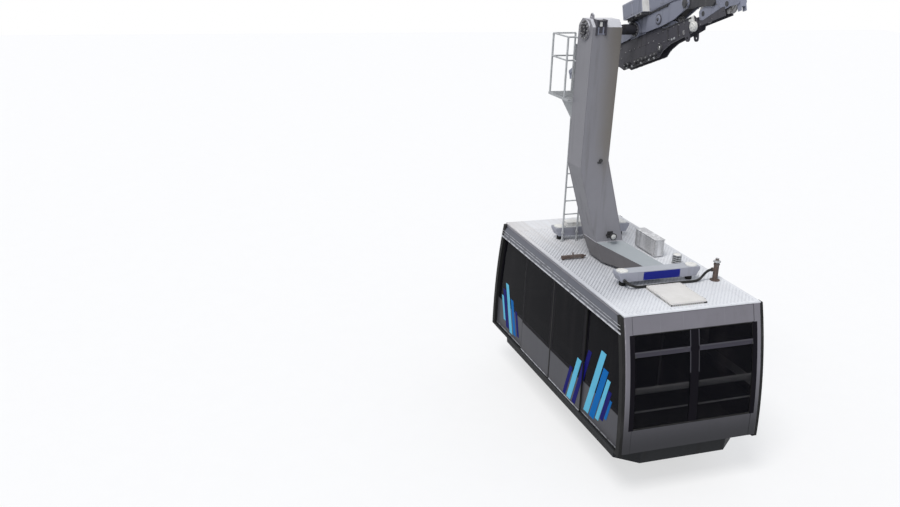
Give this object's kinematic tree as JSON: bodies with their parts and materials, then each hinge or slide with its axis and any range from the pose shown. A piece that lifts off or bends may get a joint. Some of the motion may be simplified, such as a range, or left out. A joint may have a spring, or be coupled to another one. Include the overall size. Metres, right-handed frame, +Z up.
{
  "type": "cable car cabin",
  "caption": "Aerial tramway cabin with glazed ends and sliding doors, hung by a cranked mast from a carriage of nested rockers and grooved wheels on a sloping track rope.",
  "frame": {"origin": "a point on the track rope's axis, straight below the main pin", "axes": "+X along the cabin towards its uphill end, +Y across it to its left side, +Z up"},
  "size_m": [5.6, 2.604, 7.4415],
  "materials": {
    "white_paint": "satin weathered paint",
    "silver_paint": "satin metallic paint",
    "grey_paint": "satin paint",
    "carriage_paint": "satin paint with grime",
    "dark_paint": "dull greasy paint",
    "band_paint": "satin dark blue-grey paint",
    "charcoal_paint": "dull paint",
    "cream_plastic": "matt glass-fibre",
    "galvanised": "dull galvanised steel",
    "window_glass": "dark tint",
    "rubber": "dull",
    "steel": "machined, greasy",
    "stainless": "brushed",
    "floor_cover": "studded",
    "pad_cover": "padded artificial leather",
    "lamp_metal": "polished"
  },
  "bodies": {
    "carriage": {"wheel_rockers": "carriage_paint", "bogie_rockers": "dark_paint", "axles_and_pins": "steel", "main_rocker": "carriage_paint", "rope_brake": "dark_paint", "lower_panels": "dark_paint", "rope_sensor": "white_paint", "brake_power_unit": "carriage_paint", "top_cover": "carriage_paint"},
    "cabin": {"roof": "white_paint", "hatch_coaming": "charcoal_paint", "corner_posts": "silver_paint", "end_panels": "silver_paint", "end_mullions": "charcoal_paint", "end_glass": "window_glass", "side_panels": "silver_paint", "side_glass": "window_glass", "edge_strips": "rubber", "door_rails": "band_paint", "door_sills": "charcoal_paint", "floor": "floor_cover", "underframe": "charcoal_paint", "leaning_pads": "pad_cover", "handrails": "stainless", "hanger_mast": "grey_paint", "main_pin": "steel", "hanger_foot": "grey_paint", "crossbars": "grey_paint", "roof_buffers": "rubber", "buffer_caps": "white_paint", "crossbar_box": "white_paint", "access_ladder": "galvanised", "service_platform": "galvanised", "equipment_box": "galvanised", "roof_post": "galvanised", "roof_hose": "rubber", "hook_bar": "steel", "roof_sensor": "galvanised", "foot_spotlight": "lamp_metal"},
    "roof_hatch": {"hatch_lid": "cream_plastic"},
    "door_left_uphill": {"door_leaf_left_uphill": "silver_paint", "door_glass_left_uphill": "window_glass"},
    "door_left_downhill": {"door_leaf_left_downhill": "silver_paint", "door_glass_left_downhill": "window_glass"},
    "door_right_uphill": {"door_leaf_right_uphill": "silver_paint", "door_glass_right_uphill": "window_glass"},
    "door_right_downhill": {"door_leaf_right_downhill": "silver_paint", "door_glass_right_downhill": "window_glass"},
    "wheel_1": {"track_wheel_1": "steel"},
    "wheel_2": {"track_wheel_2": "steel"},
    "wheel_3": {"track_wheel_3": "steel"},
    "wheel_4": {"track_wheel_4": "steel"},
    "wheel_5": {"track_wheel_5": "steel"},
    "wheel_6": {"track_wheel_6": "steel"},
    "wheel_7": {"track_wheel_7": "steel"},
    "wheel_8": {"track_wheel_8": "steel"}
  },
  "joints": [
    {"name": "cabin_swing", "type": "hinge", "parent": "carriage", "child": "cabin", "pos_m": [0, 0, 0.33844], "axis": [0, 1, 0], "range_deg": [-20, 20]},
    {"name": "hatch_lift", "type": "hinge", "parent": "cabin", "child": "roof_hatch", "pos_m": [1.9, 0.34, -3.673], "axis": [-1, 0, 0], "range_deg": [0, 95]},
    {"name": "slide_left_uphill", "type": "slide", "parent": "cabin", "child": "door_left_uphill", "axis": [1, 0, 0], "range_m": [0, 1.05]},
    {"name": "slide_left_downhill", "type": "slide", "parent": "cabin", "child": "door_left_downhill", "axis": [-1, 0, 0], "range_m": [0, 1.05]},
    {"name": "slide_right_uphill", "type": "slide", "parent": "cabin", "child": "door_right_uphill", "axis": [1, 0, 0], "range_m": [0, 1.05]},
    {"name": "slide_right_downhill", "type": "slide", "parent": "cabin", "child": "door_right_downhill", "axis": [-1, 0, 0], "range_m": [0, 1.05]},
    {"name": "wheel_1_spin", "type": "hinge", "parent": "carriage", "child": "wheel_1", "pos_m": [-2.28628, 0, -0.63916], "axis": [0, 1, 0], "continuous": true},
    {"name": "wheel_2_spin", "type": "hinge", "parent": "carriage", "child": "wheel_2", "pos_m": [-1.71897, 0, -0.44382], "axis": [0, 1, 0], "continuous": true},
    {"name": "wheel_3_spin", "type": "hinge", "parent": "carriage", "child": "wheel_3", "pos_m": [-1.00038, 0, -0.19639], "axis": [0, 1, 0], "continuous": true},
    {"name": "wheel_4_spin", "type": "hinge", "parent": "carriage", "child": "wheel_4", "pos_m": [-0.43307, 0, -0.00105], "axis": [0, 1, 0], "continuous": true},
    {"name": "wheel_5_spin", "type": "hinge", "parent": "carriage", "child": "wheel_5", "pos_m": [0.55027, 0, 0.33754], "axis": [0, 1, 0], "continuous": true},
    {"name": "wheel_6_spin", "type": "hinge", "parent": "carriage", "child": "wheel_6", "pos_m": [1.11758, 0, 0.53288], "axis": [0, 1, 0], "continuous": true},
    {"name": "wheel_7_spin", "type": "hinge", "parent": "carriage", "child": "wheel_7", "pos_m": [1.83618, 0, 0.78031], "axis": [0, 1, 0], "continuous": true},
    {"name": "wheel_8_spin", "type": "hinge", "parent": "carriage", "child": "wheel_8", "pos_m": [2.40349, 0, 0.97565], "axis": [0, 1, 0], "continuous": true}
  ],
  "couplings": [
    {"joint": "slide_left_downhill", "follows": "slide_left_uphill", "ratio": 1},
    {"joint": "slide_right_downhill", "follows": "slide_right_uphill", "ratio": 1}
  ]
}
